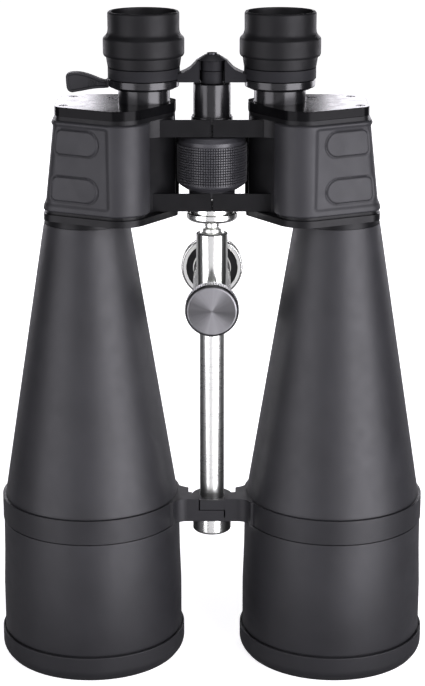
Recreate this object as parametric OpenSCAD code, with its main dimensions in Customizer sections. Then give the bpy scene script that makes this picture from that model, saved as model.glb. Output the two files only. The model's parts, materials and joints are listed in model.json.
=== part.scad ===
// Large zoom binoculars for astronomy, standing on the two objective rings.
// +Z runs up the barrels, from the objective end to the eyepiece end.
// The hinge axis and the optical axes lie in one plane, parallel to XZ. The left half is at -X.
// The upper side in use faces -Y, and the tripod foot faces +Y.
// Every shape of the left half is drawn at -X, and the right half is its mirror image.

/* [Barrels] */
// Distance between the two objective axes
objective_spacing = 132; // [128:1:140]
// Diameter of the ring at the front of each barrel
ring_d = 101; // [99:0.5:104]
// Height of the ring at the front of each barrel
ring_h = 14.4; // [12:0.2:15]
// Diameter of the straight front tube, next to its ring
tube_d = 98; // [97.4:0.2:98.6]
// Height of the lower face of the front bridge
bridge_low = 79.3; // [74:0.1:84]
// Height of the upper face of the front bridge
bridge_high = 92.2; // [90:0.1:96]
// Diameter of the cone where it leaves the front bridge
cone_low_d = 93.7; // [93.4:0.1:95]
// Diameter of the cone under the prism housing
cone_high_d = 45.2; // [44:0.1:46]
// Height of the top of the cone
cone_high = 243; // [242:0.5:244]

/* [Prism housings] */
// Height of the underside of the prism housing
housing_low = 247; // [246.4:0.1:247.4]
// Height of the top face of the cover plate
housing_high = 306.5; // [306:0.1:307]
// Thickness of the casting's walls
housing_wall = 2.3; // [2:0.1:2.4]
// Thickness of the rubber grip cover
grip_t = 1.7; // [1.2:0.1:2]

/* [Eyepieces] */
// Distance between the two eyepiece axes, with the barrels fully spread
eye_spacing = 70.34; // [70:0.01:72]
// Height of the rim of the eyecups
eyecup_high = 353; // [350:0.5:356]
// Outer diameter of the eyepiece barrel that slides in the cover plate
eye_barrel_d = 26.8; // [26:0.1:27]

/* [Centre hinge] */
// Diameter of the focus wheel
wheel_d = 36.8; // [34:0.1:37.4]
// Diameter of the post that carries the eyepiece bridge
post_d = 19.4; // [19:0.1:19.6]
// Diameter of the steel rod between the bridges
rod_d = 13.2; // [12:0.1:13.2]

/* [Tripod clamp] */
// Height of the clamp's cross post
clamp_z = 201; // [198:0.5:204]
// Distance from the hinge axis back to the rear face of the tripod foot
foot_back = 74; // [70:0.5:78]
// Diameter of the tripod foot
foot_d = 34.8; // [32:0.1:38]
// Diameter of the clamp's knob
knob_d = 28.2; // [26:0.1:30]
// Diameter of the tripod thread
tripod_thread_d = 6.35; // [6.35:0.001:9.525]

/* [Fits] */
// Radial clearance between a part and the bore that it turns or slides in
running = 0.06; // [0.03:0.01:0.1]
// Gap between faces that pass each other
gap = 0.4; // [0.35:0.05:0.5]

/* [Hidden] */
$fn = 96;
hull_fn = 40;
rim_black = "#2b2b2d";
paint_black = "#3a3a3d";
satin_black = "#303033";
gloss_black = "#18181a";
grip_black = "#444448";
polished = "#d8d8dc";
turned_grey = "#a8a8ac";
bright_brass = "#c9a44c";
lens_tint = "#9fc4b8";

// The deepest parts are the objective rings in front and the tripod foot behind,
// so this puts the whole depth's middle at Y = 0.
plane_y = (ring_d / 2 - foot_back) / 2;
objective_x = objective_spacing / 2;
eye_x = eye_spacing / 2;
ring_r = ring_d / 2;
tube_r = tube_d / 2;
eye_r = eye_barrel_d / 2;
post_r = post_d / 2;
rod_r = rod_d / 2;
wheel_r = wheel_d / 2;

// Barrels
ring_lip_r = ring_r - 5.5;
ring_lip_h = 6;
ring_round = 3;
groove = 0.6;
spigot_r = tube_r - 1;
lens_r = spigot_r - 2.1;
lens_low = 19;
lens_edge = 8;
lens_steps = 12;
shoulder_high = lens_low + lens_edge + 2.5;
tube_wall = 1.4;
band_r = tube_r - 0.5;
band_bore_r = band_r - 2;
joint_z = bridge_low + 6.5;
cone_wall = 2;

// Front bridge arms
arm_front = -14.8;
arm_root = 24;
arm_flare = 21;
front_flare = [-13.5, -22.3, 7.5];
back_flare = [-9, 15, 12];
finger_x = 6.5;
finger_back = -9;
front_knuckle_r = 11;
recess_r = 13.4;
front_knuckle_drop = 2.7;
finger_drop = 0.6;

// Prism housings: each row is a corner circle's centre X, centre Y and radius
top_corners = [[-47, -20.5, 13.5], [-74.3, -13.5, 6], [-69.3, 13, 11], [-36, 15, 9],
               [-24.2, 6, 5], [-24.2, -2, 5]];
low_corners = [[-47.4, -20.5, 13.8], [-79, -12.5, 7.2], [-73.5, 12, 12.7], [-37, 16, 9.5],
               [-24.2, 6, 5], [-24.2, -2, 5]];
lobe = [-47.2, -20.5, 13.75];
lobe_cut_x = -46;
flange_grow = 1.3;
flange_high = 250.5;
grip_low = 252;
grip_high = 299.5;
rim_low = 301.7;
grip_edge_x = -32;
flank_offset = 17.3;
screw_spots = [[-76, -13.5], [-52, 11], [-73, 16], [-31.5, 17.5]];
screw_head_r = 2.3;
screw_r = 1.2;
screw_boss_r = 3.4;
boss_h = 9;
boss_web = 2.4;
eye_boss_wall = 2.4;
eye_boss_low = 290;

// Prisms: each one moves the beam by prism_shift along a diagonal
prism_shift = (objective_x - eye_x) / sqrt(2);
prism_w = 19;
prism_half = 20;
beam_r = 8.8;
shelf_low = 271;
shelf_high = 273;

// Lugs that join the housings at the hinge
lug_front = -13.4;
lug_back = 9.5;
lug_split = 0.6;
lug_knuckle_r = 12.2;
sleeve_r = 10.8;
// Each lug's underside, the top of its knuckles, the back of its sloping top, and its front lip
lower_lug = [251, 256.2, 255.4, 260.3];
lug_web_x = -17.4;
lug_web_y = 7;
upper_lug = [290, 295.6, 294.8, 298.9];
wheel_low = 257.6;
wheel_high = 289.5;
nut_bore_r = 9.2;
nut_high = 274;

// Eyepieces
eye_bore_r = eye_r - 1.9;
barrel_low = 296;
zoom_ring_r = 18.2;
zoom_ring_low = 313.4;
zoom_ring_high = 318.5;
arm_ring_low = 318.9;
arm_ring_high = 324.3;
arm_ring_r = 18.65;
base_ring_high = 330.4;
head_low = 331.4;
collar_r = 19.4;
collar_high = 333;
eyecup_low = 330.2;
eyecup_band_r = 21;
eyecup_r = 18.5;
head_r = 15.5;
head_high = 345;

// Hub of the eyepiece bridge
hub_low = 316.4;
hub_split = 322.7;
hub_high = 327.9;
hub_cap_low = 328.2;
hub_cap_high = 330.9;
hub_r = 6.2;
hub_clear = 0.5;
web_low = 317.2;
hub_pin_r = 3;
web_front = -6.5;
web_back = 5;
hub_notch = -2.5;

// Hinge rod and focus shaft
thread_r = 6;
flange_r = 13.4;
flange_sleeve_high = 257;
stud_r = 3.3;
stud_high = 247.5;
nut_r = 10.4;
nut_low = 69;
washer_low = 78;

// Tripod clamp
post_half = 10.3;
clamp_sleeve_r = 8.3;
liner_r = rod_r + 0.6;
liner_high = 236.9;
clamp_front = -17.5;
foot_t = 7;
foot_ring_w = 3;
knob_front = -28;
knob_back = -18;
knob_stud_r = 3;

// Placing

module placed() translate([0, plane_y, 0]) children();

module right_side() mirror([1, 0, 0]) children();

module at_objective() placed() translate([-objective_x, 0, 0]) children();

module at_eyepiece() placed() translate([-eye_x, 0, 0]) children();

// Turned shapes

module turned(points) rotate_extrude() polygon(points);

module ring(outer, inner, low, high) {
    translate([0, 0, low]) difference() {
        cylinder(r = outer, h = high - low);
        translate([0, 0, -1]) cylinder(r = inner, h = high - low + 2);
    }
}

module disc(r, low, high) translate([0, 0, low]) cylinder(r = r, h = high - low);

// Radius of the circle that rises by s over the half chord r
function arc_radius(r, s) = (r * r + s * s) / (2 * s);

// Height of that arc above its chord, at the distance x from its middle
function arc_height(r, s, x) = sqrt(pow(arc_radius(r, s), 2) - x * x) - arc_radius(r, s) + s;

// A lens with its edge from low to low + edge, bulging below and above the edge
module lens(r, low, edge, low_bulge, high_bulge) {
    steps = [for (i = [0 : lens_steps]) r * i / lens_steps];
    under = [for (x = steps) [x, low - arc_height(r, low_bulge, x)]];
    over = [for (i = [lens_steps : -1 : 0]) [steps[i], low + edge + arc_height(r, high_bulge, steps[i])]];
    turned(concat(under, over));
}

// A turned shape about an axis along Y, where the profile's second coordinate is Y
module turned_along_y(points) rotate([-90, 0, 0]) turned(points);

// Barrels

module objective_ring() at_objective() color(rim_black) rotate_extrude() difference() {
    union() {
        translate([ring_lip_r, ring_round]) square([ring_r - ring_lip_r, ring_h - ring_round]);
        translate([ring_lip_r, 0]) square([ring_r - ring_round - ring_lip_r, ring_round]);
        translate([ring_r - ring_round, ring_round]) circle(ring_round);
    }
    translate([0, ring_lip_h]) square([spigot_r, ring_h]);
}

module lens_retainer() at_objective() color(satin_black)
    turned([[lens_r, lens_low - 3.5], [lens_r, lens_low], [lens_r - 2.4, lens_low - 0.3],
            [lens_r - 3, lens_low - 0.9], [lens_r - 1.6, lens_low - 3.5]]);

module objective_lens() at_objective() color(lens_tint) lens(lens_r, lens_low, lens_edge, 2.4, 3);

// The lens stands against a narrow shoulder inside the tube
module front_tube() at_objective() color(paint_black)
    turned([[lens_r, ring_lip_h], [spigot_r, ring_lip_h], [spigot_r, ring_h + groove],
            [tube_r, ring_h + groove], [tube_r, 40], [tube_r - 0.7, 60],
            [tube_r - 1, bridge_low], [band_bore_r, bridge_low], [band_bore_r, joint_z],
            [band_bore_r - tube_wall, joint_z], [band_bore_r - tube_wall, shoulder_high + 1],
            [lens_r - 1.4, shoulder_high], [lens_r - 1.4, lens_low + lens_edge + 0.2],
            [lens_r, lens_low + lens_edge]]);

module barrel_cone() at_objective() color(paint_black)
    turned([[cone_low_d / 2 - cone_wall, joint_z], [band_bore_r, joint_z], [band_bore_r, bridge_high],
            [cone_low_d / 2, bridge_high], [cone_high_d / 2, cone_high],
            [cone_high_d / 2 - cone_wall, cone_high], [cone_low_d / 2 - cone_wall, bridge_high]]);

// One arm seen from above, from its root in the band to beside the hinge. Both edges flare.
module arm_plan(arm_end) difference() {
    translate([-arm_root, -arm_flare]) square([arm_root - arm_end, arm_flare + 14]);
    translate([front_flare[0], front_flare[1]]) circle(front_flare[2]);
    translate([front_flare[0], -arm_flare - 1]) square([-front_flare[0], arm_front + arm_flare + 1]);
    translate([back_flare[0], back_flare[1]]) circle(back_flare[2]);
}

// The two arms meet at the hinge rod, one knuckle above the other, and the upper knuckle is
// recessed. The fingers in front stop the barrels from spreading further.
module front_bridge(upper_knuckle) {
    middle = (bridge_low + bridge_high) / 2;
    own = upper_knuckle ? [middle + gap / 2, bridge_high - front_knuckle_drop]
                        : [bridge_low, middle - gap / 2];
    other = upper_knuckle ? [bridge_low - 1, middle + gap / 2] : [middle - gap / 2, bridge_high + 1];
    finger_high = upper_knuckle ? bridge_high - finger_drop : own[1];
    arm_end = finger_x + gap + 0.3;
    placed() color(satin_black) difference() {
        union() {
            translate([-objective_x, 0, 0]) disc(band_r, bridge_low, bridge_high);
            difference() {
                translate([0, 0, bridge_low]) linear_extrude(bridge_high - bridge_low) arm_plan(arm_end);
                disc(front_knuckle_r + gap, other[0], other[1]);
            }
            disc(front_knuckle_r, own[0], own[1]);
            translate([-arm_end - 1, arm_front, own[0]])
                cube([arm_end + 1 + finger_x, finger_back - arm_front, finger_high - own[0]]);
        }
        translate([-objective_x, 0, 0]) disc(band_bore_r, bridge_low - 1, bridge_high + 1);
        disc(rod_r + running, bridge_low - 1, bridge_high + 1);
        disc(recess_r, bridge_high - front_knuckle_drop, bridge_high + 1);
    }
}

// Prism housings

// The housing's outline seen from above, grown outwards by grow
module outline(corners, grow) hull() for (c = corners)
    translate([c[0], c[1]]) circle(c[2] + grow, $fn = hull_fn);

module slab(corners, grow, z, t) translate([0, 0, z]) linear_extrude(t) outline(corners, grow);

// The tapering block between two heights, grown outwards by grow
module tapered(grow, low, high) hull() {
    slab(low_corners, grow, low, 0.1);
    slab(top_corners, grow, high - 0.1, 0.1);
}

// What is cut away beside the hinge, so that each flank runs along its lower prism. The round
// front corner stays, grown outwards by grow.
module flank_cut(setback, grow, low, high) difference() {
    translate([0, 0, low]) linear_extrude(high - low)
        polygon([[lobe_cut_x, -60], [0, -60], [0, flank_offset + setback * sqrt(2)],
                 [lobe_cut_x, lobe_cut_x + flank_offset + setback * sqrt(2)]]);
    translate([lobe[0], lobe[1], 0]) disc(lobe[2] + grow, low - 1, high + 1);
}

module housing_body() difference() {
    tapered(0, flange_high - 0.5, rim_low);
    flank_cut(0, 0, flange_high, grip_high);
}

module housing_void() difference() {
    tapered(-housing_wall, housing_low + housing_wall + 0.2, rim_low + 1);
    flank_cut(housing_wall, -housing_wall, housing_low, grip_high + housing_wall);
}

// One of the two plates that reach from a housing to the hinge, with a top that slopes down
// from its front lip. Its own knuckle takes the lower or the upper half of the knuckles'
// height, and the other housing's takes the rest.
module lug(heights, low_knuckle) {
    low = heights[0];
    middle = (low + heights[1]) / 2;
    own = low_knuckle ? [low, middle - gap / 2] : [middle + gap / 2, heights[1]];
    difference() {
        translate([grip_edge_x, 0, 0]) rotate([90, 0, 90]) linear_extrude(-grip_edge_x - lug_split)
            polygon([[lug_front, low], [lug_back, low], [lug_back, heights[2]],
                     [lug_front + 1.5, heights[3]], [lug_front, heights[3]]]);
        disc(lug_knuckle_r + gap, low_knuckle ? middle - gap / 2 : heights[1], heights[3] + 1);
        if (!low_knuckle) disc(lug_knuckle_r + gap, low - 1, middle + gap / 2);
    }
    disc(lug_knuckle_r, own[0], own[1]);
}

module prism_housing(low_knuckle, upper_bore_r) placed() color(satin_black) difference() {
    union() {
        slab(low_corners, flange_grow, housing_low, flange_high - housing_low);
        housing_body();
        translate([-objective_x, 0, 0]) disc(cone_high_d / 2 - 0.4, cone_high, housing_low + 1);
        translate([-objective_x, 0, 0]) disc(cone_high_d / 2 - cone_wall, cone_high, cone_high + 1);
        lug(lower_lug, low_knuckle);
        lug(upper_lug, low_knuckle);
        translate([-eye_x, 0, 0]) disc(eye_r + eye_boss_wall, eye_boss_low, grip_high);
        translate([lug_web_x - 4, lug_web_y, lower_lug[0] + 1])
            cube([4, 2.5, upper_lug[0] - lower_lug[0]]);
    }
    translate([-eye_x, 0, 0]) disc(eye_r + gap, eye_boss_low + 1.6, rim_low + 1);
    difference() {
        housing_void();
        for (spot = screw_spots) translate([spot[0], spot[1], 0]) {
            disc(screw_boss_r, rim_low - boss_h, rim_low + 2);
            translate([-boss_web / 2, 0, rim_low - boss_h]) cube([boss_web, 16, boss_h + 2]);
        }
    }
    translate([-objective_x, 0, 0]) disc(cone_high_d / 2 - cone_wall - 2, cone_high - 1, housing_low + 4);
    disc(sleeve_r + running, lower_lug[0] - 1, lower_lug[3] + 1);
    disc(upper_bore_r, upper_lug[0] - 1, upper_lug[3] + 1);
    for (spot = screw_spots) translate([spot[0], spot[1], 0]) disc(screw_r, rim_low - 7, rim_low + 1);
}

// The rubber wraps the round front corner up to the flank, and stops at grip_edge_x behind
module grip_cover() placed() color(grip_black) difference() {
    tapered(grip_t, grip_low, grip_high);
    flank_cut(0, grip_t, grip_low - 1, grip_high + 1);
    housing_body();
    translate([grip_edge_x, -60, grip_low - 1]) cube([60, 120, grip_high - grip_low + 2]);
}

module cover_plate() placed() color(gloss_black) difference() {
    slab(top_corners, 0.4, rim_low, housing_high - rim_low);
    translate([-eye_x, 0, 0]) disc(eye_r + running, rim_low - 1, housing_high + 1);
    for (spot = screw_spots) translate([spot[0], spot[1], 0]) {
        disc(screw_r, rim_low - 1, housing_high);
        disc(screw_head_r, housing_high - 1.9, housing_high + 1);
    }
}

module cover_screws() placed() color(satin_black)
for (spot = screw_spots) translate([spot[0], spot[1], 0]) {
    difference() {
        disc(screw_head_r, housing_high - 1.9, housing_high - 0.2);
        for (turn = [0, 90]) translate([0, 0, housing_high - 0.2]) rotate([0, 0, turn])
            cube([2.6, 0.6, 1.6], center = true);
    }
    disc(screw_r, rim_low - 7, housing_high - 1.9);
}

// A right-angle prism with its long face at z = 0 and its roof up, along X
module prism() rotate([90, 0, 0]) linear_extrude(prism_w, center = true)
    polygon([[-prism_half, 0], [prism_half, 0], [prism_half, prism_shift - prism_half],
             [0.6, prism_shift - 0.6], [-0.6, prism_shift - 0.6], [-prism_half, prism_shift - prism_half]]);

module upper_prism() placed() color(lens_tint)
    translate([-objective_x + prism_shift / (2 * sqrt(2)), -prism_shift / (2 * sqrt(2)), shelf_high])
        rotate([0, 0, -45]) prism();

module lower_prism() placed() color(lens_tint)
    translate([-eye_x - prism_shift / (2 * sqrt(2)), -prism_shift / (2 * sqrt(2)), shelf_low])
        rotate([0, 0, 45]) mirror([0, 0, 1]) prism();

module prism_shelf() placed() color(turned_grey) difference() {
    intersection() {
        housing_void();
        translate([-100, -60, shelf_low]) cube([100, 120, shelf_high - shelf_low]);
    }
    translate([-objective_x, 0, 0]) disc(beam_r, shelf_low - 1, shelf_high + 1);
    translate([-eye_x, 0, 0]) disc(beam_r, shelf_low - 1, shelf_high + 1);
    translate([-(objective_x + eye_x) / 2, -(objective_x - eye_x) / 2, 0])
        disc(beam_r, shelf_low - 1, shelf_high + 1);
}

// Eyepieces

module eyepiece_barrel() at_eyepiece() color(gloss_black)
    ring(eye_r, eye_bore_r, barrel_low, base_ring_high - 1.4);

// The arm that holds one eyepiece. Its knuckle turns on the focus shaft's pin.
module eyepiece_arm(knuckle) {
    other = knuckle[0] > hub_low ? [hub_low - 1, hub_split + 0.2] : [hub_split - 0.2, hub_high + 1];
    placed() color(satin_black) difference() {
        union() {
            translate([-eye_x, 0, 0]) disc(arm_ring_r, arm_ring_low, arm_ring_high);
            difference() {
                translate([0, web_back, 0]) rotate([90, 0, 0]) linear_extrude(web_back - web_front)
                    polygon([[-22, arm_ring_low], [-19.5, web_low], [0, web_low], [0, hub_high],
                             [-7.8, hub_high], [-8.8, 326.7], [-11.4, 324.1], [-14, 322.6],
                             [-16.1, 321.7], [-22, 321]]);
                disc(hub_r + hub_clear, other[0], other[1]);
                translate([-hub_clear / 2, -20, hub_low - 1]) cube([20, 40, hub_high - hub_low + 2]);
                translate([-hub_r - hub_clear, hub_notch - 20, hub_low - 1])
                    cube([20, 20, hub_high - hub_low + 2]);
            }
            disc(hub_r, knuckle[0], knuckle[1]);
        }
        disc(hub_pin_r + running, hub_low - 1, hub_high + 1);
        translate([-eye_x, 0, 0]) disc(eye_r, hub_low - 3, arm_ring_high + 1);
        translate([-eye_x, 0, 0]) disc(zoom_ring_r + gap, hub_low - 3, arm_ring_low);
    }
}

module zoom_ring() at_eyepiece() color(satin_black)
    turned([[eye_r + running, zoom_ring_low], [15.6, zoom_ring_low], [17.2, zoom_ring_low + 1],
            [zoom_ring_r, zoom_ring_low + 1], [zoom_ring_r, zoom_ring_high], [eye_r + running, zoom_ring_high]]);

// The leaf stands upright on a narrow neck beside the ring
module zoom_lever() placed() color(satin_black) difference() {
    union() {
        translate([0, 2.5, 0]) rotate([90, 0, 0]) linear_extrude(5) {
            hull() {
                translate([-70.5, 316.6]) circle(5.4, $fn = hull_fn);
                translate([-61.5, 316]) circle(3.6, $fn = hull_fn);
            }
            hull() {
                translate([-61.5, 316]) circle(2.6, $fn = hull_fn);
                translate([-56, 315.6]) circle(1.9, $fn = hull_fn);
            }
        }
        translate([-58, -4, zoom_ring_low + 1.2]) cube([5, 8, zoom_ring_high - zoom_ring_low - 1.4]);
    }
    translate([-eye_x, 0, 0]) disc(zoom_ring_r, zoom_ring_low - 1, zoom_ring_high + 1);
}

// The ring's collar stands inside the skirt of the eyecup
module base_ring(bore_r) at_eyepiece() color(rim_black)
    turned([[bore_r, arm_ring_high + 0.3], [18.6, arm_ring_high + 0.3], [18.8, arm_ring_high + 1.2],
            [collar_r, base_ring_high - 1], [collar_r, collar_high], [head_r + gap, collar_high],
            [head_r + gap, base_ring_high], [bore_r, base_ring_high]]);

module eyepiece_head(spigot_r) at_eyepiece() color(gloss_black)
    turned([[10, 322], [spigot_r, 322], [spigot_r, head_low], [head_r, head_low], [head_r, head_high - 1],
            [head_r - 1, head_high], [13, head_high], [12, head_high - 1.5], [12, 336], [10, 336]]);

module eyecup() at_eyepiece() color(rim_black)
    turned([[head_r, collar_high + 1], [collar_r + 0.3, collar_high + 1], [collar_r + 0.3, eyecup_low],
            [eyecup_band_r - 0.7, eyecup_low], [eyecup_band_r, eyecup_low + 1.2], [eyecup_band_r, 339.3],
            [eyecup_r + 0.4, 341.4], [eyecup_r, 342.2], [eyecup_r, eyecup_high - 0.7],
            [eyecup_r - 0.5, eyecup_high], [eyecup_r - 1.2, eyecup_high], [eyecup_r - 1.5, eyecup_high - 0.7],
            [eyecup_r - 1.6, 344], [head_r, 343]]);

module eye_lens() at_eyepiece() color(lens_tint) lens(12, 337, 3, 0.8, 1.6);

module zoom_cell() at_eyepiece() color(turned_grey) ring(eye_bore_r - running, 9, 300, 307);

module zoom_lens() at_eyepiece() color(lens_tint) lens(9, 302, 2.4, 1, 1);

// Centre hinge

module hinge_rod() placed() color(polished)
    turned([[0, washer_low - 8], [rod_r - 1, washer_low - 8], [rod_r, washer_low - 7], [rod_r, 236.9],
            [rod_r - 1, 237.6], [rod_r - 1.4, 239.4], [stud_r + 0.4, 240], [stud_r + 0.4, 244],
            [stud_r, 244], [stud_r, stud_high], [0, stud_high]]);

module end_nut() placed() color(polished)
    turned([[rod_r, nut_low + 1.5], [rod_r + 1, nut_low], [nut_r - 1.5, nut_low], [nut_r, nut_low + 1.2],
            [nut_r, washer_low], [rod_r, washer_low]]);

module end_washer() placed() color(turned_grey) ring(nut_r + 0.5, rod_r, washer_low, bridge_low - gap);

// The flange under the lower lugs, turned in one piece with the sleeve that they turn on
module hinge_flange() placed() color(polished)
    turned([[stud_r, 244], [flange_r - 1.4, 244], [flange_r, 245.4], [flange_r, 248], [flange_r - 0.4, 248.4],
            [sleeve_r + 0.8, 248.4], [sleeve_r + 0.8, lower_lug[0] - 0.3], [sleeve_r, lower_lug[0] - 0.3],
            [sleeve_r, flange_sleeve_high], [thread_r + running, flange_sleeve_high],
            [thread_r + running, stud_high], [stud_r, stud_high]]);

module upper_hinge_sleeve() placed() color(gloss_black)
    turned([[post_r + running, upper_lug[0]], [sleeve_r, upper_lug[0]], [sleeve_r, upper_lug[3]],
            [sleeve_r - 0.4, upper_lug[3] + 0.4], [post_r + running, upper_lug[3] + 0.4]]);

// The wheel's narrow foot stands inside the lip of the lower lugs
module focus_wheel() placed() color(rim_black)
    turned([[nut_bore_r, wheel_low], [lug_knuckle_r - 0.1, wheel_low], [lug_knuckle_r - 0.1, wheel_low + 3.3],
            [wheel_r - 4.9, wheel_low + 3.3], [wheel_r - 1.2, wheel_low + 5.8], [wheel_r, wheel_low + 6.8],
            [wheel_r, wheel_high - 4.5], [wheel_r - 0.8, wheel_high - 4.4], [wheel_r - 0.8, wheel_high - 2.6],
            [wheel_r - 3, wheel_high], [post_r + 0.7, wheel_high], [post_r + 0.7, nut_high],
            [nut_bore_r, nut_high]]);

module wheel_nut() placed() color(bright_brass)
    ring(nut_bore_r, thread_r + running, wheel_low, nut_high);

module focus_shaft() placed() color(gloss_black)
    turned([[0, 251.5], [thread_r, 251.5], [thread_r, 282], [post_r, 282], [post_r, hub_low - 0.3],
            [hub_pin_r, hub_low - 0.3], [hub_pin_r, hub_cap_low], [0, hub_cap_low]]);

module hub_cap() placed() color(satin_black)
    turned([[0, hub_cap_low], [8, hub_cap_low], [6.4, hub_cap_low + 1.1], [3.7, hub_cap_high], [0, hub_cap_high]]);

module hub_screw() placed() color(turned_grey) difference() {
    disc(2.7, hub_cap_high, hub_cap_high + 0.8);
    translate([0, 0, hub_cap_high + 0.8]) cube([4, 0.7, 0.9], center = true);
}

// Tripod clamp

module clamp_liner() placed() color(rim_black) ring(liner_r, rod_r + running, clamp_z - 9, liner_high);

// The cross post lies along Y, and the sleeve stands on it around the rod
module clamp_body() placed() color(polished) difference() {
    union() {
        translate([0, 0, clamp_z]) turned_along_y([[0, clamp_front], [post_half - 1, clamp_front],
            [post_half, clamp_front + 1], [post_half, foot_back - foot_t], [0, foot_back - foot_t]]);
        disc(clamp_sleeve_r, clamp_z, liner_high - 0.4);
    }
    disc(liner_r + running, clamp_z - post_half - 1, liner_high + 1);
    translate([0, 0, clamp_z]) rotate([90, 0, 0]) cylinder(r = knob_stud_r + running, h = 30);
}

module tripod_foot() placed() translate([0, 0, clamp_z]) color(polished)
    turned_along_y([[0, foot_back - foot_t], [post_half + 0.4, foot_back - foot_t],
        [post_half + 0.4, foot_back - foot_t + 1.6], [foot_d / 2 - foot_ring_w, foot_back - foot_t + 1.6],
        [foot_d / 2 - foot_ring_w, foot_back - foot_t], [foot_d / 2 - 0.8, foot_back - foot_t],
        [foot_d / 2, foot_back - foot_t + 0.8], [foot_d / 2, foot_back - 0.8],
        [foot_d / 2 - 0.8, foot_back],
        [tripod_thread_d / 2, foot_back], [tripod_thread_d / 2, foot_back - foot_t + 1],
        [0, foot_back - foot_t + 1]]);

module foot_pad() placed() translate([0, 0, clamp_z]) color(rim_black)
    turned_along_y([[post_half + 0.4, foot_back - foot_t + 0.6],
        [foot_d / 2 - foot_ring_w, foot_back - foot_t + 0.6],
        [foot_d / 2 - foot_ring_w, foot_back - foot_t + 1.6],
        [post_half + 0.4, foot_back - foot_t + 1.6]]);

module clamp_knob() placed() translate([0, 0, clamp_z]) color(turned_grey)
    turned_along_y([[0, knob_front], [knob_d / 2 - 1, knob_front], [knob_d / 2, knob_front + 1],
        [knob_d / 2, knob_back - 1], [knob_d / 2 - 1, knob_back], [knob_stud_r, knob_back],
        [knob_stud_r, -liner_r - 0.3], [0, -liner_r - 0.3]]);

// The named sub-parts of each half

module left_objective_ring() objective_ring();
module right_objective_ring() right_side() objective_ring();
module left_lens_retainer() lens_retainer();
module right_lens_retainer() right_side() lens_retainer();
module left_objective_lens() objective_lens();
module right_objective_lens() right_side() objective_lens();
module left_front_tube() front_tube();
module right_front_tube() right_side() front_tube();
module left_barrel_cone() barrel_cone();
module right_barrel_cone() right_side() barrel_cone();
module left_grip_cover() grip_cover();
module right_grip_cover() right_side() grip_cover();
module left_cover_plate() cover_plate();
module right_cover_plate() right_side() cover_plate();
module left_cover_screws() cover_screws();
module right_cover_screws() right_side() cover_screws();
module left_upper_prism() upper_prism();
module right_upper_prism() right_side() upper_prism();
module left_lower_prism() lower_prism();
module right_lower_prism() right_side() lower_prism();
module left_prism_shelf() prism_shelf();
module right_prism_shelf() right_side() prism_shelf();
module left_eyepiece_barrel() eyepiece_barrel();
module right_eyepiece_barrel() right_side() eyepiece_barrel();
module left_zoom_ring() zoom_ring();
module right_zoom_ring() right_side() zoom_ring();
module left_eyepiece_head() eyepiece_head(eye_bore_r);
module right_eyepiece_head() right_side() eyepiece_head(eye_bore_r - running);
module left_eyecup() eyecup();
module right_eyecup() right_side() eyecup();
module left_eye_lens() eye_lens();
module right_eye_lens() right_side() eye_lens();
module left_zoom_cell() zoom_cell();
module right_zoom_cell() right_side() zoom_cell();
module left_zoom_lens() zoom_lens();
module right_zoom_lens() right_side() zoom_lens();
module left_front_bridge() front_bridge(false);
module right_front_bridge() right_side() front_bridge(true);
module left_prism_housing() prism_housing(true, sleeve_r + running);
module right_prism_housing() right_side() prism_housing(false, sleeve_r);
module left_eyepiece_arm() eyepiece_arm([hub_split + 0.2, hub_high]);
module right_eyepiece_arm() right_side() eyepiece_arm([hub_low, hub_split - 0.2]);
module left_base_ring() base_ring(eye_r);
module right_dioptre_ring() right_side() base_ring(eye_r + running);

left_objective_ring();
right_objective_ring();
left_lens_retainer();
right_lens_retainer();
left_objective_lens();
right_objective_lens();
left_front_tube();
right_front_tube();
left_barrel_cone();
right_barrel_cone();
left_front_bridge();
right_front_bridge();
left_prism_housing();
right_prism_housing();
left_grip_cover();
right_grip_cover();
left_cover_plate();
right_cover_plate();
left_cover_screws();
right_cover_screws();
left_upper_prism();
right_upper_prism();
left_lower_prism();
right_lower_prism();
left_prism_shelf();
right_prism_shelf();
left_eyepiece_barrel();
right_eyepiece_barrel();
left_eyepiece_arm();
right_eyepiece_arm();
left_zoom_ring();
right_zoom_ring();
zoom_lever();
left_base_ring();
right_dioptre_ring();
left_eyepiece_head();
right_eyepiece_head();
left_eyecup();
right_eyecup();
left_eye_lens();
right_eye_lens();
left_zoom_cell();
right_zoom_cell();
left_zoom_lens();
right_zoom_lens();
hinge_rod();
end_nut();
end_washer();
hinge_flange();
upper_hinge_sleeve();
focus_wheel();
wheel_nut();
focus_shaft();
hub_cap();
hub_screw();
clamp_liner();
clamp_body();
tripod_foot();
foot_pad();
clamp_knob();
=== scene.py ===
"""Looks of the large zoom binoculars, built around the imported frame.

Lengths in the tables are in millimetres, and the barrels stand along Z.
"""

import json
import math

import bmesh
import bpy
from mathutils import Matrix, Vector


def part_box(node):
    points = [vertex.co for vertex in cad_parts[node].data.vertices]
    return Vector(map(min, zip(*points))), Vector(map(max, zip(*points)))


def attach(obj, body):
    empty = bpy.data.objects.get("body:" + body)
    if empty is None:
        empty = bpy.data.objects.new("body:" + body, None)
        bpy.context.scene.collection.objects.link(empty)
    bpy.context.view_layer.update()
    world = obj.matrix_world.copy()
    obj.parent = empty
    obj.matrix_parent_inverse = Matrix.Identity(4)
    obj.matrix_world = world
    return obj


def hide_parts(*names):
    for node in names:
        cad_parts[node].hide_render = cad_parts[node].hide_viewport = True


MM = 0.001

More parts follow.
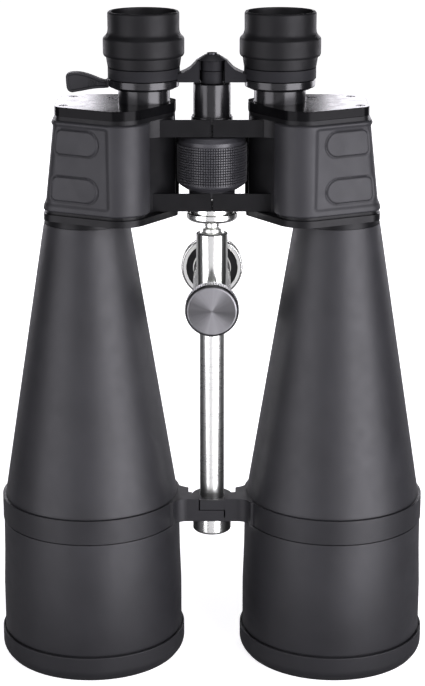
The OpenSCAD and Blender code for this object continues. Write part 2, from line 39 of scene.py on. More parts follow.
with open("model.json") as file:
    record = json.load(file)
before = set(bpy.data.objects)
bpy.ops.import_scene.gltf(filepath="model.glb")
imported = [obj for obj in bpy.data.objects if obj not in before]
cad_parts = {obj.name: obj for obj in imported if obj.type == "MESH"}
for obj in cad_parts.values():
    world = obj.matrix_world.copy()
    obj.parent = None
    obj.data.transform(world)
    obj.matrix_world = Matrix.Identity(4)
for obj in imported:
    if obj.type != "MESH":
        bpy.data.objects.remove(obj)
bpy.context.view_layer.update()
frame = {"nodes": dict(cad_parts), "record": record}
record = frame["record"]
body_of = {node: body for body, nodes in record["behaviour"]["bodies"].items() for node in nodes}
slot_of = {row["node"]: row["material_slot"] for row in record["subparts"]}


def middle(node):
    """The middle of a CAD node's box, in millimetres."""
    low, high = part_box(node)
    return (low + high) / 2 / MM


PLANE = middle("hinge_rod").y
OBJECTIVE = -middle("left_objective_ring").x
EYE = -middle("left_eyecup").x
CLAMP = middle("tripod_foot").z


# Materials


class Shader:
    """A Principled material whose nodes are added one after another."""

    def __init__(self, name, **values):
        self.material = bpy.data.materials.new(name)
        self.material.use_nodes = True
        self.nodes = self.material.node_tree.nodes
        self.links = self.material.node_tree.links
        self.bsdf = self.nodes["Principled BSDF"]
        for socket, value in values.items():
            self.bsdf.inputs[socket.replace("_", " ")].default_value = value
        self.place = self.add("ShaderNodeTexCoord").outputs["Object"]
        self.normal = None

    def add(self, kind, **settings):
        node = self.nodes.new(kind)
        for key, value in settings.items():
            if hasattr(node, key):
                setattr(node, key, value)
            else:
                node.inputs[key].default_value = value
        return node

    def noise(self, scale, detail=2.0, stretch=None):
        """Noise in object space, with scale in cells per metre, stretched by a factor per axis."""
        place = self.place
        if stretch:
            mapping = self.add("ShaderNodeMapping")
            mapping.inputs["Scale"].default_value = stretch
            self.links.new(place, mapping.inputs["Vector"])
            place = mapping.outputs["Vector"]
        node = self.add("ShaderNodeTexNoise", Scale=scale, Detail=detail)
        self.links.new(place, node.inputs["Vector"])
        return node.outputs["Fac"]

    def vary(self, socket, factor, low, high):
        """Drives a number of the shader between low and high."""
        node = self.add("ShaderNodeMapRange")
        node.inputs["From Min"].default_value = 0.3
        node.inputs["From Max"].default_value = 0.7
        node.inputs["To Min"].default_value = low
        node.inputs["To Max"].default_value = high
        self.links.new(factor, node.inputs["Value"])
        self.links.new(node.outputs["Result"], self.bsdf.inputs[socket])

    def tint(self, factor, low, high):
        """Drives the base colour between two colours."""
        node = self.add("ShaderNodeValToRGB")
        ramp = node.color_ramp
        ramp.elements[0].position, ramp.elements[1].position = 0.3, 0.7
        ramp.elements[0].color, ramp.elements[1].color = (*low, 1), (*high, 1)
        self.links.new(factor, node.inputs["Fac"])
        self.links.new(node.outputs["Color"], self.bsdf.inputs["Base Color"])

    def bump(self, factor, strength, depth):
        """Adds relief of that depth in millimetres."""
        node = self.add("ShaderNodeBump")
        node.inputs["Strength"].default_value = strength
        node.inputs["Distance"].default_value = depth * MM
        self.links.new(factor, node.inputs["Height"])
        if self.normal:
            self.links.new(self.normal, node.inputs["Normal"])
        self.normal = node.outputs["Normal"]
        self.links.new(self.normal, self.bsdf.inputs["Normal"])


def grained(name, dark, light, rough, grain, depth, **values):
    """A black finish with a fine grain, a slight mottling and an uneven sheen."""
    shader = Shader(name, **values)
    shader.tint(shader.noise(45, 3), dark, light)
    shader.vary("Roughness", shader.noise(160, 3), *rough)
    shader.bump(shader.noise(grain, 2), 0.5, depth)
    return shader.material


def grey(value, blue=1.12):
    return (value, value, value * blue)


barrel_paint = grained("barrel_paint", grey(0.0105), grey(0.0145), (0.42, 0.5), 2600, 0.05,
                       Specular_IOR_Level=0.33)
casting_paint = grained("casting_paint", grey(0.009), grey(0.012), (0.42, 0.5), 2200, 0.04,
                        Specular_IOR_Level=0.28)
arm_paint = grained("arm_paint", grey(0.009), grey(0.012), (0.52, 0.6), 2200, 0.04,
                    Specular_IOR_Level=0.1)
# The housings take the casting paint made several times darker. This is painted shade on their flanks, which
# lie in the shade of the lugs and barrels.
housing_painted_shade = grained("housing_painted_shade", grey(0.002), grey(0.004), (0.34, 0.44), 2200, 0.04,
                        Specular_IOR_Level=0.16)
armour = grained("armour_rubber", grey(0.012), grey(0.016), (0.46, 0.54), 3000, 0.03,
                 Specular_IOR_Level=0.3)
cup_rubber = grained("cup_rubber", grey(0.003), grey(0.004), (0.44, 0.54), 3200, 0.04,
                     Specular_IOR_Level=0.17)
ring_rubber = grained("ring_rubber", grey(0.011), grey(0.014), (0.52, 0.62), 2800, 0.05,
                      Specular_IOR_Level=0.3)
wheel_black = grained("wheel_black", grey(0.02), grey(0.026), (0.34, 0.44), 3000, 0.02)
lever_black = grained("lever_black", grey(0.009), grey(0.013), (0.46, 0.58), 2400, 0.04,
                      Specular_IOR_Level=0.3)
gloss_black = grained("gloss_black", grey(0.004), grey(0.006), (0.18, 0.26), 400, 0.008)
plate_black = grained("plate_black", grey(0.002), grey(0.003), (0.16, 0.24), 1800, 0.004,
                      Specular_IOR_Level=0.06)
pad_black = grained("pad_black", grey(0.010), grey(0.014), (0.5, 0.6), 3000, 0.05)


def turned_metal(name, colour, rough, stretch, lines=2500, depth=0.004, **values):
    """Metal with fine lathe lines around one axis."""
    shader = Shader(name, Metallic=1.0, **values)
    around = shader.noise(lines, 1, stretch=stretch)
    shader.tint(shader.noise(60, 2), [c * 0.96 for c in colour], colour)
    shader.vary("Roughness", around, *rough)
    shader.bump(around, 0.25, depth)
    return shader.material


ALONG_Z, ALONG_Y = (0.01, 0.01, 1.0), (0.01, 1.0, 0.01)
CHROME = (0.87, 0.885, 0.84)
chrome_z = turned_metal("polished_chrome_upright", CHROME, (0.18, 0.25), ALONG_Z)
rod_chrome = turned_metal("brushed_chrome", CHROME, (0.27, 0.33), ALONG_Z)
chrome_y = turned_metal("polished_chrome_level", CHROME, (0.14, 0.2), ALONG_Y)
steel_z = turned_metal("turned_steel_upright", (0.6, 0.6, 0.61), (0.25, 0.35), ALONG_Z)
aluminium = turned_metal("bare_aluminium", (0.62, 0.62, 0.64), (0.3, 0.42), ALONG_Z)
brass = turned_metal("turned_brass", (0.8, 0.6, 0.27), (0.22, 0.32), ALONG_Z)
dark_screw = turned_metal("dark_screw", (0.06, 0.06, 0.065), (0.25, 0.35), ALONG_Z)


def radial_steel():
    """A faced disc: its lines run around the clamp's axis. Its colour is painted lighter and darker in
    sectors that fan out from the middle, a painted sheen beside the real anisotropic one.
    """
    shader = Shader("faced_steel", Metallic=1.0, Anisotropic=0.75)
    shift = shader.add("ShaderNodeVectorMath", operation="SUBTRACT")
    shift.inputs[1].default_value = (0, 0, CLAMP * MM)
    shader.links.new(shader.place, shift.inputs[0])
    parts = shader.add("ShaderNodeSeparateXYZ")
    shader.links.new(shift.outputs["Vector"], parts.inputs["Vector"])
    angle = shader.add("ShaderNodeMath", operation="ARCTAN2")
    shader.links.new(parts.outputs["Z"], angle.inputs[0])
    shader.links.new(parts.outputs["X"], angle.inputs[1])
    flat = shader.add("ShaderNodeCombineXYZ")
    shader.links.new(parts.outputs["X"], flat.inputs["X"])
    shader.links.new(parts.outputs["Z"], flat.inputs["Y"])
    radius = shader.add("ShaderNodeVectorMath", operation="LENGTH")
    shader.links.new(flat.outputs["Vector"], radius.inputs[0])
    rings = shader.add("ShaderNodeTexNoise", noise_dimensions="1D", Scale=4000, Detail=2)
    shader.links.new(radius.outputs["Value"], rings.inputs["W"])
    # Painted sheen: the base colour goes lighter and darker with the angle around the middle.
    painted_sheen_fan = shader.add("ShaderNodeTexNoise", noise_dimensions="1D", Scale=1.3, Detail=3)
    shader.links.new(angle.outputs["Value"], painted_sheen_fan.inputs["W"])
    shader.tint(painted_sheen_fan.outputs["Fac"], grey(0.13, 1.02), grey(0.2, 1.02))
    shader.vary("Roughness", rings.outputs["Fac"], 0.36, 0.48)
    shader.bump(rings.outputs["Fac"], 0.3, 0.01)
    tangent = shader.add("ShaderNodeTangent", direction_type="RADIAL", axis="Y")
    shader.links.new(tangent.outputs["Tangent"], shader.bsdf.inputs["Tangent"])
    return shader.material


faced_steel = radial_steel()


def coated(name, colour, coat):
    """Lens glass with a faint coloured coating."""
    shader = Shader(name, Roughness=0.03, IOR=1.52, Transmission_Weight=0.85, Coat_Weight=0.6)
    shader.bsdf.inputs["Coat Tint"].default_value = (*coat, 1)
    shader.tint(shader.noise(30, 1), [c * 0.94 for c in colour], colour)
    shader.bump(shader.noise(200, 1), 0.02, 0.001)
    return shader.material


lens_glass = coated("coated_lens", (0.62, 0.78, 0.72), (0.4, 0.9, 0.6))
prism_glass = coated("prism_glass", (0.86, 0.9, 0.9), (1, 1, 1))


# Making meshes


def make(name, mesh_data, sharp=35):
    """Turns a bmesh into an object with smooth faces and sharp edges over that angle."""
    mesh = bpy.data.meshes.new(name)
    bmesh.ops.recalc_face_normals(mesh_data, faces=mesh_data.faces)
    for face in mesh_data.faces:
        face.smooth = True
    mesh_data.to_mesh(mesh)
    mesh_data.free()
    mesh.set_sharp_from_angle(angle=math.radians(sharp))
    made = bpy.data.objects.new(name, mesh)
    bpy.context.scene.collection.objects.link(made)
    even = made.modifiers.new("even_normals", "WEIGHTED_NORMAL")
    even.keep_sharp = True
    return made


def stand_for(made, node, material):
    """The piece replaces one CAD node, on that node's body."""
    made.data.materials.clear()
    made.data.materials.append(material)
    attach(made, body_of[node])
    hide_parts(node)
    return made


def filleted(points, closed):
    """Profile points (radius, height), with an arc at each one that has a third number, its size."""
    path = []
    for i, point in enumerate(points):
        here, size = Vector(point[:2]), point[2] if len(point) > 2 else 0
        if not size or (not closed and i in (0, len(points) - 1)):
            path.append(here)
            continue
        before = Vector(points[i - 1][:2]) - here
        after = Vector(points[(i + 1) % len(points)][:2]) - here
        back = min(size, before.length * 0.48, after.length * 0.48)
        start, end = here + before.normalized() * back, here + after.normalized() * back
        for k in range(6):
            t = k / 5
            path.append(start * (1 - t) ** 2 + here * 2 * t * (1 - t) + end * t * t)
    return path


def spin(points, place, closed=True, segments=144):
    """A turned mesh. place(x, y, along) gives a point in the row frame, in millimetres."""
    shape = bmesh.new()
    rings = []
    for radius, along in filleted(points, closed):
        if radius < 1e-6:
            rings.append([shape.verts.new(Vector(place(0, 0, along)) * MM)])
            continue
        turns = [2 * math.pi * k / segments for k in range(segments)]
        rings.append([shape.verts.new(Vector(place(radius * math.cos(a), radius * math.sin(a), along)) * MM)
                      for a in turns])
    for first, second in zip(rings, rings[1:] + rings[:1] if closed else rings[1:]):
        for k in range(segments):
            n = (k + 1) % segments
            corners = [first[k % len(first)], first[n % len(first)],
                       second[n % len(second)], second[k % len(second)]]
            shape.faces.new(list(dict.fromkeys(corners)))
    return shape


def upright(x):
    """Places a turned piece on an upright axis at x."""
    return lambda a, b, along: (x + a, PLANE + b, along)


def level(a, b, along):
    """Places a turned piece of the clamp, whose axis is level and runs from front to back."""
    return (a, PLANE + along, CLAMP + b)


def frusta(shape, cells, place, inset=0.22):
    """Raised studs. Each cell is (angle, width angle, along, height, low radius, high radius)."""
    for angle, width, along, height, low, high in cells:
        rows = []
        for radius, shrink in ((low, 0), (high, inset)):
            w, h = width * (0.5 - shrink), height * (0.5 - shrink)
            corners = ((-w, -h), (w, -h), (w, h), (-w, h))
            points = [place(radius * math.cos(angle + a), radius * math.sin(angle + a), along + b)
                      for a, b in corners]
            rows.append([shape.verts.new(Vector(point) * MM) for point in points])
        shape.faces.new(rows[1])
        for k in range(4):
            n = (k + 1) % 4
            shape.faces.new((rows[0][k], rows[0][n], rows[1][n], rows[1][k]))


def refined(node, material, bevel=0.4, sharp=30):
    """A copy of a CAD node with its seams welded and its edges softened."""
    shape = bmesh.new()
    shape.from_mesh(frame["nodes"][node].data)
    bmesh.ops.remove_doubles(shape, verts=shape.verts, dist=2e-6)
    bmesh.ops.dissolve_limit(shape, angle_limit=math.radians(0.4), verts=shape.verts, edges=shape.edges)
    made = make("soft_" + node, shape, sharp)
    if bevel:
        edge = made.modifiers.new("edges", "BEVEL")
        edge.width, edge.segments = bevel * MM, 3
        edge.limit_method, edge.angle_limit = "ANGLE", math.radians(sharp)
        edge.harden_normals = True
        made.modifiers.move(1, 0)
    return stand_for(made, node, material)


def both(piece, points, material, x, **more):
    """A turned piece on each side, at -x and x."""
    for side, at in (("left", -x), ("right", x)):
        node = f"{side}_{piece}"
        stand_for(make("turned_" + node, spin(points, upright(at), **more)), node, material)


def single(node, points, material, x=0.0, **more):
    return stand_for(make("turned_" + node, spin(points, upright(x), **more)), node, material)


# Barrels

both("objective_ring", [(45, 0, 0.6), (47.2, 0, 2.2), (50.5, 4.2, 2.6), (50.5, 14.4, 1.2),
                        (49.5, 14.4, 0.4), (49.2, 13.6), (48, 13.6), (48, 6), (45, 6, 0.4)],
     ring_rubber, OBJECTIVE)
both("front_tube", [(45.9, 6), (48, 6), (48, 15), (49, 15, 0.4), (49, 40), (48.3, 60), (48.05, 78.3, 0.2),
                    (47.3, 78.5), (47.3, 79.3), (46.5, 79.3), (46.5, 85.8), (45.1, 85.8), (45.1, 30.5),
                    (44.5, 29.5), (44.5, 27), (45.9, 27)], barrel_paint, OBJECTIVE)
both("barrel_cone", [(44.85, 85.8), (46.5, 85.8), (46.5, 92.2), (46.85, 92.2, 0.2), (22.6, 243),
                     (20.6, 243), (44.85, 92.2)], barrel_paint, OBJECTIVE)
both("lens_retainer", [(45.9, 15.5), (45.9, 19), (43.5, 19), (42.9, 18.4, 0.3), (44.3, 15.5, 0.3)],
     dark_screw, OBJECTIVE)
for side in ("left", "right"):
    refined(side + "_front_bridge", casting_paint, 0.7)
    refined(side + "_prism_housing", housing_painted_shade, 0.45)
    refined(side + "_cover_plate", plate_black, 0.9)
    refined(side + "_cover_screws", dark_screw, 0.15)
    refined(side + "_eyepiece_arm", arm_paint, 0.6)


# Rubber covers of the housings. Each row is a corner: centre X, centre Y and radius.

GRIP_LOW, GRIP_HIGH, GRIP_THICK, GRIP_EDGE = 252.0, 299.5, 1.7, -32.0
LOW_CORNERS = [(-47.4, -20.5, 13.8), (-79, -12.5, 7.2), (-73.5, 12, 12.7), (-37, 16, 9.5)]
TOP_CORNERS = [(-47, -20.5, 13.5), (-74.3, -13.5, 6), (-69.3, 13, 11), (-36, 15, 9)]
TAPER_LOW, TAPER_HIGH = 250.0, 301.7
START_ANGLE = 12
FLAT_LENGTH = 27.5
PADS = [(3.9, 29.3, 288.8, 6.6), (4.2, 29.6, 264.6, 6.6)]


def edge_normal(first, second):
    """Angle of the outward normal of the line that touches two corner circles."""
    across = Vector(second[:2]) - Vector(first[:2])
    length = across.length
    across /= length
    lean = (first[2] - second[2]) / length
    normal = across * lean + Vector((-across.y, across.x)) * math.sqrt(1 - lean * lean)
    return math.atan2(normal.y, normal.x)


def stations(corners):
    """Points (x, y, normal angle, corner or edge) around the cover, from the front flank to the rear."""
    normals = [edge_normal(a, b) for a, b in zip(corners, corners[1:])]
    last = corners[-1]
    angles = [math.radians(START_ANGLE)] + normals + [math.acos((GRIP_EDGE - last[0]) / last[2])]
    found = []
    for i, (x, y, radius) in enumerate(corners):
        a, b = angles[i], angles[i + 1]
        turn = (b - a + math.pi) % (2 * math.pi) - math.pi
        steps = (64, 34, 22, 22)[i]
        for k in range(steps + 1):
            angle = a + turn * k / steps
            found.append((x + radius * math.cos(angle), y + radius * math.sin(angle), angle, ("arc", i)))
        if i + 1 < len(corners):
            nx, ny, following = *corners[i + 1][:2], corners[i + 1][2]
            angle = angles[i + 1]
            start_x, start_y = x + radius * math.cos(angle), y + radius * math.sin(angle)
            end_x, end_y = nx + following * math.cos(angle), ny + following * math.sin(angle)
            steps = (72, 24, 24)[i]
            for k in range(1, steps):
                f = k / steps
                found.append((start_x + (end_x - start_x) * f, start_y + (end_y - start_y) * f,
                              angle, ("edge", i)))
    return found


def smooth(value, low, high):
    t = min(1.0, max(0.0, (value - low) / (high - low)))
    return t * t * (3 - 2 * t)


def pad_distance(u, z, pad):
    """Signed distance to a pad's outline: round at its inner end, squarer at its outer end."""
    left, right, centre, half = pad
    round_size = half if u < (left + right) / 2 else 3.4
    du = abs(u - (left + right) / 2) - (right - left) / 2 + round_size
    dz = abs(z - centre) - half + round_size
    return min(max(du, dz), 0) + math.hypot(max(du, 0), max(dz, 0)) - round_size


def relief(u, z):
    """How far the cover's surface lies off its full thickness: the sunk panel, and its outlined pads."""
    side = smooth(u, -3.0, -0.2) * (1 - smooth(u, 49, 53))
    sunk = side * smooth(z, 254.6, 257) * (1 - smooth(z, 296.2, 298.2))
    depth = -0.95 * sunk
    for pad in PADS:
        distance = pad_distance(u, z, pad)
        depth += 0.34 * (1 - smooth(distance, -1.0, -0.1)) - 0.5 * math.exp(-(distance / 0.42) ** 2)
    return depth


def grip_mesh(mirror):
    low, top = stations(LOW_CORNERS), stations(TOP_CORNERS)
    shape = bmesh.new()
    count = 116
    travel, lengths = 0.0, []
    for i, point in enumerate(low):
        if i:
            travel += math.dist(point[:2], low[i - 1][:2])
        lengths.append(travel)
    flat_start = next(lengths[i] for i, p in enumerate(low) if p[3] == ("edge", 0))
    flat_end = next(lengths[i] for i, p in enumerate(low) if p[3] == ("arc", 1))
    total = lengths[-1]
    grid = []
    for (lx, ly, la, _), (tx, ty, ta, _), at in zip(low, top, lengths):
        column = []
        u = (at - flat_start) / (flat_end - flat_start) * FLAT_LENGTH
        for k in range(count + 1):
            z = GRIP_LOW + (GRIP_HIGH - GRIP_LOW) * k / count
            t = (z - TAPER_LOW) / (TAPER_HIGH - TAPER_LOW)
            angle = la + (ta - la) * t
            margin = min(z - GRIP_LOW, GRIP_HIGH - z, at * 0.8, (total - at) * 0.8)
            lip = math.sqrt(1 - (1 - min(1.0, margin / 1.3)) ** 2)
            out = GRIP_THICK * (0.02 + 0.98 * lip) + relief(u, z) * lip
            x = lx + (tx - lx) * t + out * math.cos(angle)
            y = ly + (ty - ly) * t + out * math.sin(angle)
            column.append(shape.verts.new(Vector((-x if mirror else x, PLANE + y, z)) * MM))
        grid.append(column)
    for first, second in zip(grid, grid[1:]):
        for k in range(count):
            shape.faces.new((first[k], second[k], second[k + 1], first[k + 1]))
    return shape


for side in ("left", "right"):
    cover = make("rubber_" + side, grip_mesh(side == "right"), 60)
    cover.modifiers.clear()
    stand_for(cover, side + "_grip_cover", armour)


# Eyepieces

both("eyepiece_barrel", [(11.5, 296, 0.3), (13.4, 296, 0.5), (13.4, 329), (11.5, 329)], gloss_black, EYE)
both("zoom_ring", [(13.46, 313.4), (15.6, 313.4, 0.4), (17.2, 314.4, 0.5), (18.2, 314.6, 0.5),
                   (18.2, 318.5, 0.5), (13.46, 318.5)], gloss_black, EYE)
RING = [(18.6, 324.6, 0.3), (18.8, 325.5, 0.3), (19.4, 329.4, 0.5), (19.4, 333), (15.9, 333), (15.9, 330.4)]
single("left_base_ring", [(13.4, 324.6)] + RING + [(13.4, 330.4)], cup_rubber, -EYE)
single("right_dioptre_ring", [(13.46, 324.6)] + RING + [(13.46, 330.4)], cup_rubber, EYE)
HEAD = [(15.5, 331.4), (15.5, 344, 0.4), (14.5, 345, 0.4), (13, 345, 0.3), (12, 343.5), (12, 336), (10, 336),
        (10, 322)]
single("left_eyepiece_head", [(11.5, 322), (11.5, 331.4)] + HEAD, gloss_black, -EYE)
single("right_eyepiece_head", [(11.44, 322), (11.44, 331.4)] + HEAD, gloss_black, EYE)
both("eyecup", [(15.5, 334), (19.7, 334), (19.7, 330.2), (20.3, 330.2, 0.3), (21, 331.4, 0.6),
                (21, 339.4, 0.8), (18.9, 341.6, 1.4), (18.45, 343.6, 1.2), (18.5, 352.2, 0.6),
                (18, 353, 0.5), (17.2, 353, 0.4), (16.9, 352.2, 0.4), (16.8, 344.5, 0.8),
                (15.5, 343, 0.5)], cup_rubber, EYE)

# The lever: outline points (X, Z) around its leaf and neck, then the lines of its thumb rest
LEAF = [(-75.4, 320.0), (-74.9, 320.9), (-73.6, 321.6), (-71.4, 321.9), (-69.4, 321.9), (-67.2, 321.6),
        (-64.6, 321.0), (-62.0, 320.1), (-59.7, 319.2), (-57.8, 318.4), (-56.0, 317.8), (-53.4, 317.6),
        (-53.4, 313.9), (-56.0, 313.7), (-58.6, 313.6), (-61.4, 313.3), (-64.4, 312.8), (-67.4, 312.2),
        (-70.0, 311.8), (-72.0, 311.4), (-73.4, 311.7), (-74.4, 312.5), (-75.0, 313.8), (-75.3, 316.5)]
RIBS = [(-63.2, 4.6), (-61.8, 4.0), (-60.4, 3.5), (-59.1, 3.0)]


def lever_mesh():
    shape = bmesh.new()
    front = [shape.verts.new(Vector((x, PLANE - 2.5, z)) * MM) for x, z in LEAF]
    back = [shape.verts.new(Vector((x, PLANE + 2.5, z)) * MM) for x, z in LEAF]
    for k in range(len(LEAF)):
        n = (k + 1) % len(LEAF)
        shape.faces.new((front[k], front[n], back[n], back[k]))
    faces = [shape.faces.new(front), shape.faces.new(back[::-1])]
    bmesh.ops.recalc_face_normals(shape, faces=shape.faces)
    for face, depth in zip(faces, (-0.7, -0.5)):
        bmesh.ops.inset_region(shape, faces=[face], thickness=1.15 * MM, depth=0)
        bmesh.ops.inset_region(shape, faces=[face], thickness=0.35 * MM, depth=depth * MM)
    for x, height in RIBS:
        corners = [(dx, dy, dz * height / 2) for dx in (-0.32, 0.32) for dy in (0, 0.55) for dz in (-1, 1)]
        ends = [shape.verts.new(Vector((x + dx * (1 if dy == 0 else 0.4), PLANE - 1.75 - dy,
                                        316.1 + (x + 75) * -0.03 + dz)) * MM) for dx, dy, dz in corners]
        for quad in ((0, 1, 3, 2), (4, 6, 7, 5), (0, 2, 6, 4), (1, 5, 7, 3), (2, 3, 7, 6), (0, 4, 5, 1)):
            shape.faces.new([ends[q] for q in quad])
    arc = []
    for radius in (18.25, 19.4):
        for z in (314.9, 318.2):
            turns = [math.radians(-16 + 32 * k / 12) for k in range(13)]
            points = [(-EYE - radius * math.cos(a), PLANE + radius * math.sin(a), z) for a in turns]
            arc.append([shape.verts.new(Vector(point) * MM) for point in points])
    inner_low, inner_high, outer_low, outer_high = arc
    around = (inner_low, inner_high, outer_high, outer_low, inner_low)
    for a, b in zip(around, around[1:]):
        for k in range(12):
            shape.faces.new((a[k], a[k + 1], b[k + 1], b[k]))
    for k in (0, 12):
        shape.faces.new((inner_low[k], inner_high[k], outer_high[k], outer_low[k]))
    return shape


lever = make("moulded_zoom_lever", lever_mesh(), 40)
rim = lever.modifiers.new("edges", "BEVEL")
rim.width, rim.segments, rim.limit_method, rim.angle_limit = 0.4 * MM, 3, "ANGLE", math.radians(30)
lever.modifiers.move(1, 0)
stand_for(lever, "zoom_lever", lever_black)


# Centre hinge

single("hinge_rod", [(0, 70), (5.6, 70, 0.4), (6.6, 71, 0.3), (6.6, 236.9, 0.3), (5.6, 237.6, 0.2),
                     (5.2, 239.4, 0.3), (3.7, 240, 0.3), (3.7, 244), (3.3, 244), (3.3, 247.5), (0, 247.5)],
       rod_chrome, closed=False)
single("end_nut", [(6.6, 70.5, 0.3), (7.6, 69, 0.3), (8.9, 69, 0.6), (10.4, 70.2, 0.6), (10.4, 78, 0.3),
                   (6.6, 78)], chrome_z)
single("end_washer", [(6.6, 78), (10.9, 78, 0.2), (10.9, 78.9, 0.2), (6.6, 78.9)], steel_z)
single("hinge_flange", [(3.3, 244), (12, 244, 0.5), (13.4, 245.4, 0.6), (13.4, 248, 0.3), (13, 248.4, 0.2),
                        (11.6, 248.4), (11.6, 250.7), (10.8, 250.7), (10.8, 257, 0.2), (6.06, 257),
                        (6.06, 247.5), (3.3, 247.5)], chrome_z)
single("upper_hinge_sleeve", [(9.76, 290), (10.8, 290), (10.8, 298.9, 0.3), (10.4, 299.3, 0.2),
                              (9.76, 299.3)], gloss_black)
single("focus_shaft", [(0, 251.5), (5.4, 251.5), (6, 252.1), (6, 282), (9.7, 282), (9.7, 316.1, 0.4),
                       (3, 316.1), (3, 328.2), (0, 328.2)], gloss_black, closed=False)
single("hub_cap", [(0, 328.2), (8, 328.2, 0.2), (6.4, 329.3, 0.8), (3.7, 330.9, 0.6), (0, 330.9)],
       casting_paint, closed=False)
refined("hub_screw", dark_screw, 0.12)

WHEEL = [(9.2, 257.6), (12.1, 257.6, 0.3), (12.1, 260.9, 0.3), (13.5, 260.9, 0.6), (17.3, 263.5, 0.8),
         (17.75, 264.4, 0.4), (17.75, 285.1), (17.6, 285.2), (17.6, 286.8), (17.6, 286.9, 0.6),
         (15.6, 289.3, 0.8), (10.6, 289.5, 0.3), (10.4, 289.2), (10.4, 274), (9.2, 274)]
wheel = spin(WHEEL, upright(0), segments=176)
KNURL_LOW, KNURL_HIGH, COLUMNS, ROWS = 264.7, 284.9, 88, 15
pitch, turn = (KNURL_HIGH - KNURL_LOW) / ROWS, 2 * math.pi / COLUMNS
frusta(wheel, [(turn * c, turn, KNURL_LOW + pitch * (r + 0.5), pitch, 17.74, 18.4)
               for c in range(COLUMNS) for r in range(ROWS)], upright(0), 0.2)
stand_for(make("knurled_focus_wheel", wheel, 25), "focus_wheel", wheel_black)


# Tripod clamp

single("clamp_liner", [(6.66, 192, 0.1), (7.2, 192), (7.2, 236.9, 0.1), (6.66, 236.9)], pad_black)
refined("clamp_body", chrome_y, 0.4)
FOOT = [(0, 67), (10.7, 67), (10.7, 68.6), (14.4, 68.6), (14.4, 67, 0.3), (16.6, 67, 0.7), (17.4, 67.8, 0.5),
        (17.4, 73.2, 0.5), (16.6, 74, 0.3), (3.175, 74, 0.3), (3.175, 68), (0, 68)]
stand_for(make("turned_tripod_foot", spin(FOOT, level, closed=False)), "tripod_foot", chrome_y)
PAD = [(10.7, 67.6), (14.4, 67.6, 0.2), (14.4, 68.6), (10.7, 68.6)]
stand_for(make("turned_foot_pad", spin(PAD, level)), "foot_pad", pad_black)
KNOB = [(0, -28), (12.6, -28, 0.5), (13.5, -27.2, 0.4), (13.5, -18.9, 0.4), (12.8, -18, 0.3), (3, -18),
        (3, -7.5), (0, -7.5)]
knob = spin(KNOB, level, closed=False)
RIDGES = 64
turn = 2 * math.pi / RIDGES
frusta(knob, [(turn * c, turn, -23.05, 8.3, 13.48, 14.1) for c in range(RIDGES)], level, 0.16)
stand_for(make("knurled_clamp_knob", knob, 25), "clamp_knob", faced_steel)


# Finishes of the CAD nodes that stay

stay = {"coated_glass": lens_glass, "bare_aluminium": aluminium, "brass": brass}
for node, body in body_of.items():
    piece = frame["nodes"][node]
    if piece.hide_render:
        continue
    finish = prism_glass if node.endswith("_prism") else stay[slot_of[node]]
    piece.data.materials.clear()
    piece.data.materials.append(finish)


# Stage, lights and camera. Lengths are in metres here.

LIGHT_TINT = (0.955, 0.932, 1.0)
CAMERA_DISTANCE, CAMERA_HEIGHT, CAMERA_TILT = 1.0022, 0.4678, 73.765
SENSOR, FOCAL_LENGTH, SHIFT = 36, 101.98, 0.0008


def white_floor():
    """A white table that widens away from the camera, and gets brighter towards its far end."""
    shape = bmesh.new()
    corners = ((-0.45, -0.16), (0.45, -0.16), (0.45, 0.2), (3, 3), (3, 7), (-3, 7), (-3, 3), (-0.45, 0.2))
    shape.faces.new([shape.verts.new((x, y, 0)) for x, y in corners])
    floor = make("white_floor", shape)
    floor.modifiers.clear()
    shader = Shader("white_floor", Roughness=0.7)
    shader.bsdf.inputs["Emission Color"].default_value = (1, 1, 1, 1)
    far = shader.add("ShaderNodeVectorMath", operation="LENGTH")
    shader.links.new(shader.place, far.inputs[0])
    rise = shader.add("ShaderNodeMapRange")
    rise.inputs["From Min"].default_value, rise.inputs["From Max"].default_value = 0.25, 1.2
    rise.inputs["To Min"].default_value, rise.inputs["To Max"].default_value = 0.72, 1.0
    shader.links.new(far.outputs["Value"], rise.inputs["Value"])
    path = shader.add("ShaderNodeLightPath")
    seen = shader.add("ShaderNodeMath", operation="MULTIPLY")
    shader.links.new(rise.outputs["Result"], seen.inputs[0])
    shader.links.new(path.outputs["Is Camera Ray"], seen.inputs[1])
    shader.links.new(seen.outputs["Value"], shader.bsdf.inputs["Emission Strength"])
    paint = shader.add("ShaderNodeValToRGB")
    for stop, shade in zip(paint.color_ramp.elements, (0.3, 0.9)):
        stop.color = (shade, shade, shade, 1)
    shader.links.new(path.outputs["Is Camera Ray"], paint.inputs["Fac"])
    shader.links.new(paint.outputs["Color"], shader.bsdf.inputs["Base Color"])
    floor.data.materials.append(shader.material)


def lamp(name, place, target, size, radiance):
    """An area light of that brightness, which the camera itself doesn't see."""
    data = bpy.data.lights.new(name, "AREA")
    data.shape, data.size, data.size_y = "RECTANGLE", size[0], size[1]
    data.energy = radiance * math.pi * size[0] * size[1]
    data.color = LIGHT_TINT
    made = bpy.data.objects.new(name, data)
    made.location = place
    made.rotation_euler = (Vector(target) - Vector(place)).to_track_quat("-Z", "Y").to_euler()
    made.visible_camera = False
    bpy.context.scene.collection.objects.link(made)


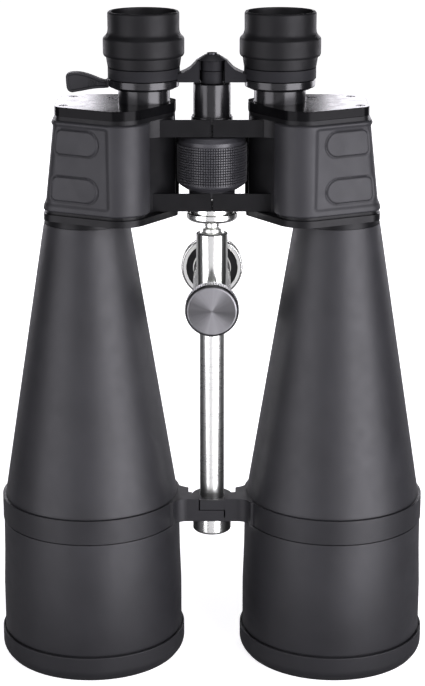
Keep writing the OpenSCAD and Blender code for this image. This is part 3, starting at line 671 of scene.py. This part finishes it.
def softbox(name, azimuth, width, radiance, distance=1.3, low=-0.8, high=1.3):
    """An upright softbox beside the part, that many degrees to the right of the camera's place."""
    a = math.radians(azimuth)
    place = (distance * math.sin(a), PLANE * MM - distance * math.cos(a), (low + high) / 2)
    lamp(name, place, (0, PLANE * MM, (low + high) / 2), (width, high - low), radiance)


def surroundings():
    """White to the camera, and nearly dark to everything else, so that the softboxes shape the part."""
    world = bpy.data.worlds.new("studio")
    bpy.context.scene.world = world
    world.use_nodes = True
    nodes, links = world.node_tree.nodes, world.node_tree.links
    path = nodes.new("ShaderNodeLightPath")
    seen, lit = nodes.new("ShaderNodeBackground"), nodes["Background"]
    mix = nodes.new("ShaderNodeMixShader")
    seen.inputs["Color"].default_value, seen.inputs["Strength"].default_value = (1, 1, 1, 1), 1.0
    lit.inputs["Color"].default_value, lit.inputs["Strength"].default_value = (1, 1, 1.04, 1), 0.03
    links.new(path.outputs["Is Camera Ray"], mix.inputs["Fac"])
    links.new(lit.outputs[0], mix.inputs[1])
    links.new(seen.outputs[0], mix.inputs[2])
    links.new(mix.outputs[0], nodes["World Output"].inputs["Surface"])


white_floor()
surroundings()
softbox("softbox_left", -52, 1.05, 3.4)
softbox("softbox_right", 46, 1.2, 7.1)
softbox("front_fill", 0, 1.1, 0.8)
for azimuth in (140, 220):
    softbox("rear_fill", azimuth, 0.9, 3.0, distance=1.5, low=0.05, high=0.42)
for side in (-1, 1):
    lamp("back_panel", (side * 0.45, 1.6, 0.67), (side * 0.1, 0, 0.3), (0.6, 0.46), 5.5)
lamp("top_light", (0, 0.0, 1.6), (0, 0, 0.2), (0.9, 0.7), 1.5)

eye = bpy.data.cameras.new("camera")
eye.sensor_fit, eye.sensor_height, eye.lens, eye.shift_x = "VERTICAL", SENSOR, FOCAL_LENGTH, SHIFT
camera = bpy.data.objects.new("camera", eye)
camera.location = (0, PLANE * MM - CAMERA_DISTANCE, CAMERA_HEIGHT)
camera.rotation_euler = (math.radians(CAMERA_TILT), 0, 0)
bpy.context.scene.collection.objects.link(camera)
bpy.context.scene.camera = camera
bpy.context.scene.view_settings.view_transform = "Standard"
